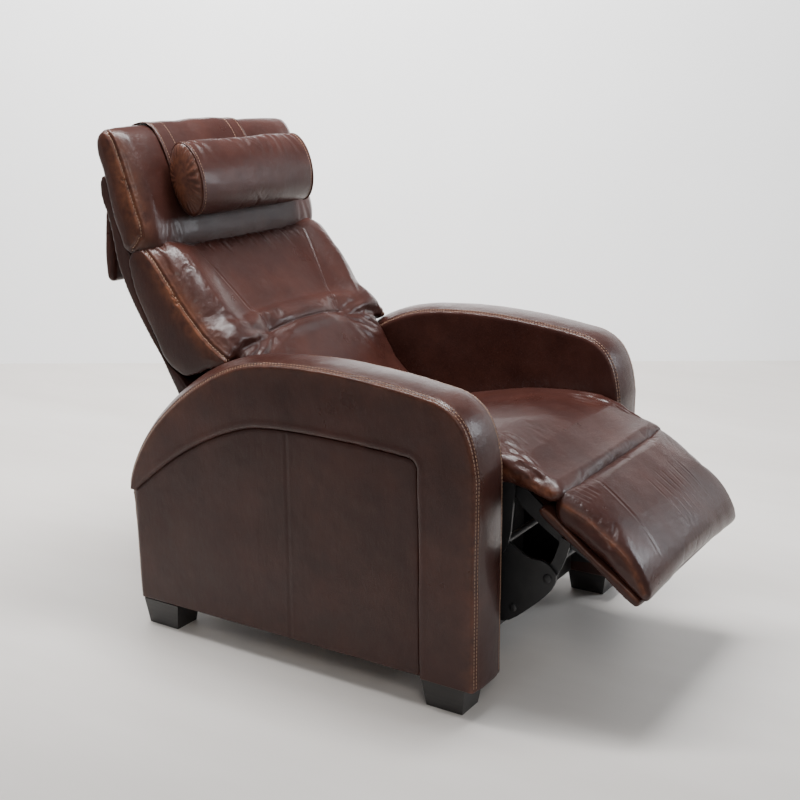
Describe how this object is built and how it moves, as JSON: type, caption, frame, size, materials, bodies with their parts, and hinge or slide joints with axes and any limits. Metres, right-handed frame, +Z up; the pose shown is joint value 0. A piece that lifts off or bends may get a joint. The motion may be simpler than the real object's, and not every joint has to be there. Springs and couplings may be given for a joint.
{
  "type": "recliner armchair",
  "caption": "Power recliner armchair with padded arms, tilting seat, folding legrest, reclining T-shaped back and a sliding neck pillow on a counterweighted strap.",
  "frame": {"origin": "middle of the footprint of the whole chair, at floor level, chair at the pose of the picture", "axes": "+Z up, the chair faces -Y, +X to the sitter's left"},
  "size_m": [0.79, 1.4112, 1.1255],
  "materials": {
    "leather": "glossy pull-up",
    "leather_side": "glossy pull-up",
    "wood": "unfinished",
    "black_wood": "satin stain",
    "black_steel": "satin",
    "bright_steel": "brushed",
    "black_plastic": "matte",
    "grey_plastic": "satin",
    "lining": "matte"
  },
  "bodies": {
    "base": {"right_arm_cover": "leather", "right_arm_frame": "wood", "right_outer_panel": "leather_side", "right_front_foot": "black_wood", "right_rear_foot": "black_wood", "right_base_plate": "black_steel", "left_arm_cover": "leather", "left_arm_frame": "wood", "left_outer_panel": "leather_side", "left_front_foot": "black_wood", "left_rear_foot": "black_wood", "left_base_plate": "black_steel", "front_rail": "black_wood", "rear_rail": "black_wood", "seat_pivot_shaft": "bright_steel", "rear_panel": "leather_side", "control_box": "black_plastic", "power_inlet": "black_plastic", "switch_plate": "grey_plastic", "dust_cover": "lining"},
    "seat": {"right_seat_plate": "black_steel", "left_seat_plate": "black_steel", "legrest_hinge_shaft": "black_steel", "link_pivot_shaft": "black_steel", "back_hinge_shaft": "bright_steel", "seat_cross_tube": "black_steel", "seat_deck": "wood", "seat_cushion": "leather", "knee_flap": "leather", "leg_drive_housing": "black_plastic", "back_drive_housing": "black_plastic"},
    "legrest": {"legrest_board": "leather_side", "legrest_pad": "leather", "right_leg_bracket": "black_steel", "left_leg_bracket": "black_steel", "leg_crank": "black_steel", "legrest_cross_tube": "black_steel"},
    "front_links": {"right_front_link": "black_steel", "left_front_link": "black_steel", "front_link_tube": "black_steel"},
    "right_toggle": {"right_leg_toggle": "black_steel"},
    "left_toggle": {"left_leg_toggle": "black_steel"},
    "leg_rod": {"leg_drive_rod": "bright_steel"},
    "back_rod": {"back_drive_rod": "bright_steel"},
    "back": {"back_cushion": "leather", "head_cushion": "leather", "back_frame": "wood", "back_shell": "leather_side", "back_lower_cover": "lining", "right_back_bracket": "black_steel", "left_back_bracket": "black_steel", "back_crank": "black_steel"},
    "pillow": {"neck_pillow": "leather", "strap_front": "leather"},
    "counterweight": {"counterweight_pouch": "leather", "strap_rear": "leather"},
    "front_upper": {"front_upper_button": "black_plastic"},
    "front_lower": {"front_lower_button": "black_plastic"},
    "rear_upper": {"rear_upper_button": "black_plastic"},
    "rear_lower": {"rear_lower_button": "black_plastic"}
  },
  "joints": [
    {"name": "seat_tilt", "type": "hinge", "parent": "base", "child": "seat", "pos_m": [0, 0.113, 0.25], "axis": [-1, 0, 0], "range_deg": [-6, 4]},
    {"name": "legrest_fold", "type": "hinge", "parent": "seat", "child": "legrest", "pos_m": [0, -0.407, 0.448], "axis": [-1, 0, 0], "range_deg": [-48, 32], "deforming": ["knee_flap"]},
    {"name": "front_link_swing", "type": "hinge", "parent": "seat", "child": "front_links", "pos_m": [0, -0.387, 0.32], "axis": [-1, 0, 0], "range_deg": [-62, 42]},
    {"name": "right_toggle_swing", "type": "hinge", "parent": "legrest", "child": "right_toggle", "pos_m": [0, -0.525, 0.354], "axis": [-1, 0, 0], "range_deg": [-40, 60]},
    {"name": "left_toggle_swing", "type": "hinge", "parent": "legrest", "child": "left_toggle", "pos_m": [0, -0.525, 0.354], "axis": [-1, 0, 0], "range_deg": [-40, 60]},
    {"name": "leg_drive_stroke", "type": "slide", "parent": "seat", "child": "leg_rod", "axis": [0, -0.9813, 0.1924], "range_m": [-0.045, 0.03]},
    {"name": "back_recline", "type": "hinge", "parent": "seat", "child": "back", "pos_m": [0, 0.153, 0.38], "axis": [-1, 0, 0], "range_deg": [-12, 30]},
    {"name": "back_drive_stroke", "type": "slide", "parent": "seat", "child": "back_rod", "axis": [0, 1, 0], "range_m": [-0.058, 0.024]},
    {"name": "pillow_height", "type": "slide", "parent": "back", "child": "pillow", "axis": [0, 0.2419, 0.9703], "range_m": [-0.08, 0.01], "deforming": ["strap_front"]},
    {"name": "counterweight_height", "type": "slide", "parent": "back", "child": "counterweight", "axis": [0, 0, 1], "range_m": [-0.01, 0.08], "deforming": ["strap_rear"]},
    {"name": "front_upper_press", "type": "slide", "parent": "base", "child": "front_upper", "axis": [-1, 0, 0], "range_m": [0, 0.002], "stiffness_N_per_m": 300, "springref_m": -0.0015},
    {"name": "front_lower_press", "type": "slide", "parent": "base", "child": "front_lower", "axis": [-1, 0, 0], "range_m": [0, 0.002], "stiffness_N_per_m": 300, "springref_m": -0.0015},
    {"name": "rear_upper_press", "type": "slide", "parent": "base", "child": "rear_upper", "axis": [-1, 0, 0], "range_m": [0, 0.002], "stiffness_N_per_m": 300, "springref_m": -0.0015},
    {"name": "rear_lower_press", "type": "slide", "parent": "base", "child": "rear_lower", "axis": [-1, 0, 0], "range_m": [0, 0.002], "stiffness_N_per_m": 300, "springref_m": -0.0015}
  ],
  "couplings": [
    {"joint": "legrest_fold", "follows": "seat_tilt", "ratio": 7.9},
    {"joint": "front_link_swing", "follows": "seat_tilt", "ratio": 10.2},
    {"joint": "right_toggle_swing", "follows": "seat_tilt", "ratio": -9.5},
    {"joint": "left_toggle_swing", "follows": "seat_tilt", "ratio": -9.5},
    {"joint": "leg_drive_stroke", "follows": "seat_tilt", "m_per_rad": 0.407},
    {"joint": "back_drive_stroke", "follows": "back_recline", "m_per_rad": -0.109},
    {"joint": "counterweight_height", "follows": "pillow_height", "ratio": -1}
  ]
}
